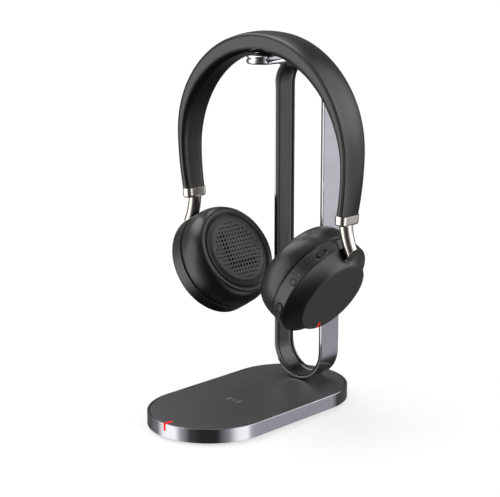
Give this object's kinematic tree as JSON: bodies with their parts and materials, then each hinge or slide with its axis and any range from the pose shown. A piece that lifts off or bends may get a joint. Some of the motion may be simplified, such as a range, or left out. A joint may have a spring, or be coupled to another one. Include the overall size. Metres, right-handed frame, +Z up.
{
  "type": "office headset",
  "caption": "Wireless on-ear office headset with swivelling cups, hanging from the hook of a charging stand: oval base, upright metal ring and chrome hook.",
  "frame": {"origin": "centre of the underside of the stand's base", "axes": "+Z up, -Y towards the front end of the base, +X towards the ear cup with the controls"},
  "size_m": [0.1458, 0.1512, 0.2416],
  "materials": {
    "soft_touch_black": "fine satin soft-touch paint",
    "base_top_coat": "matte soft-touch",
    "gunmetal": "bead-blasted, anodised gunmetal with polished edges",
    "liner_plastic": "satin moulded",
    "chrome": "polished",
    "saddle_plastic": "matte",
    "champagne_metal": "satin nickel",
    "leatherette": "fine-grained soft leatherette",
    "perforated_leatherette": "leatherette with a square grid of small holes",
    "control_plastic": "satin moulded",
    "inner_plastic": "moulded",
    "rubber_pad": "matte",
    "steel": "plain",
    "gold_contact": "gold plated",
    "copper_coil": "enamelled copper",
    "circuit_board": "solder mask",
    "battery_wrap": "foil pouch",
    "driver_metal": "plain",
    "red_inlay": "solid red",
    "light_pipe": "smoked clear"
  },
  "bodies": {
    "stand": {"base_foot_pad": "rubber_pad", "base_bottom_plate": "inner_plastic", "base_band": "gunmetal", "base_cover": "base_top_coat", "base_ballast": "steel", "charging_coil": "copper_coil", "base_circuit_board": "circuit_board", "base_usb_inlet": "steel", "base_screws": "steel", "base_red_marker": "red_inlay", "ring_screws": "steel", "ring_band": "gunmetal", "ring_liner": "liner_plastic", "ring_foot": "liner_plastic", "hook_frame": "chrome", "hook_saddle": "saddle_plastic", "hook_screws": "steel", "contact_springs": "steel"},
    "contact_block": {"contact_carrier": "saddle_plastic", "charge_pins": "gold_contact"},
    "headset": {"headband_cover": "leatherette", "headband_pad": "leatherette", "headband_spring_strip": "steel", "headband_contacts": "gold_contact", "slide_guide_right": "inner_plastic", "slide_guide_left": "inner_plastic"},
    "right_arm": {"arm_right": "champagne_metal", "collar_right": "champagne_metal", "arm_stem_right": "champagne_metal"},
    "right_knuckle": {"knuckle_right": "steel", "tilt_pin_right": "steel"},
    "right_cup": {"cup_housing_right": "soft_touch_black", "cup_disc_right": "soft_touch_black", "cup_baffle_right": "inner_plastic", "speaker_driver_right": "driver_metal", "cup_screws_right": "steel", "ear_cushion_right": "leatherette", "ear_scrim_right": "perforated_leatherette", "disc_red_line": "red_inlay", "microphone": "inner_plastic", "status_light": "light_pipe", "cup_usb_port": "steel", "cup_circuit_board": "circuit_board"},
    "left_arm": {"arm_left": "champagne_metal", "collar_left": "champagne_metal", "arm_stem_left": "champagne_metal"},
    "left_knuckle": {"knuckle_left": "steel", "tilt_pin_left": "steel"},
    "left_cup": {"cup_housing_left": "soft_touch_black", "cup_disc_left": "soft_touch_black", "cup_baffle_left": "inner_plastic", "speaker_driver_left": "driver_metal", "cup_screws_left": "steel", "ear_cushion_left": "leatherette", "ear_scrim_left": "perforated_leatherette", "battery": "battery_wrap"},
    "call_button": {"call_button": "control_plastic"},
    "volume_up_button": {"volume_up_button": "control_plastic"},
    "volume_down_button": {"volume_down_button": "control_plastic"},
    "power_switch": {"power_switch": "control_plastic"}
  },
  "joints": [
    {"name": "headset_lift_off", "type": "slide", "parent": "stand", "child": "headset", "axis": [0, -0.9397, 0.342], "range_m": [0, 0.16]},
    {"name": "charge_contact_press", "type": "slide", "parent": "stand", "child": "contact_block", "axis": [0, 0, -1], "range_m": [0, 0.0008], "stiffness_N_per_m": 300, "deforming": ["contact_springs"]},
    {"name": "right_arm_slide", "type": "slide", "parent": "headset", "child": "right_arm", "axis": [-0.0837, 0, -0.9965], "range_m": [0, 0.018]},
    {"name": "right_cup_tilt", "type": "hinge", "parent": "right_arm", "child": "right_knuckle", "pos_m": [0.05921, 0.01585, 0.10853], "axis": [0, -1, 0], "range_deg": [0, 8]},
    {"name": "right_cup_swivel", "type": "hinge", "parent": "right_knuckle", "child": "right_cup", "pos_m": [0.05921, 0.01585, 0.10853], "axis": [-0.5075, 0, -0.8616], "range_deg": [0, 10]},
    {"name": "left_arm_slide", "type": "slide", "parent": "headset", "child": "left_arm", "axis": [0.0837, 0, -0.9965], "range_m": [0, 0.018]},
    {"name": "left_cup_tilt", "type": "hinge", "parent": "left_arm", "child": "left_knuckle", "pos_m": [-0.05921, 0.01585, 0.10853], "axis": [0, 1, 0], "range_deg": [0, 8]},
    {"name": "left_cup_swivel", "type": "hinge", "parent": "left_knuckle", "child": "left_cup", "pos_m": [-0.05921, 0.01585, 0.10853], "axis": [-0.5075, 0, 0.8616], "range_deg": [0, 10]},
    {"name": "call_button_press", "type": "slide", "parent": "right_cup", "child": "call_button", "axis": [-0.1652, 0.9455, -0.2805], "range_m": [0, 0.0005], "stiffness_N_per_m": 500},
    {"name": "volume_up_button_press", "type": "slide", "parent": "right_cup", "child": "volume_up_button", "axis": [0.1399, 0.9613, 0.2375], "range_m": [0, 0.0005], "stiffness_N_per_m": 500},
    {"name": "volume_down_button_press", "type": "slide", "parent": "right_cup", "child": "volume_down_button", "axis": [0.2422, 0.8788, 0.4111], "range_m": [0, 0.0005], "stiffness_N_per_m": 500},
    {"name": "power_switch_slide", "type": "slide", "parent": "right_cup", "child": "power_switch", "axis": [-0.2553, -0.8643, -0.4334], "range_m": [-0.0012, 0.0012]}
  ]
}
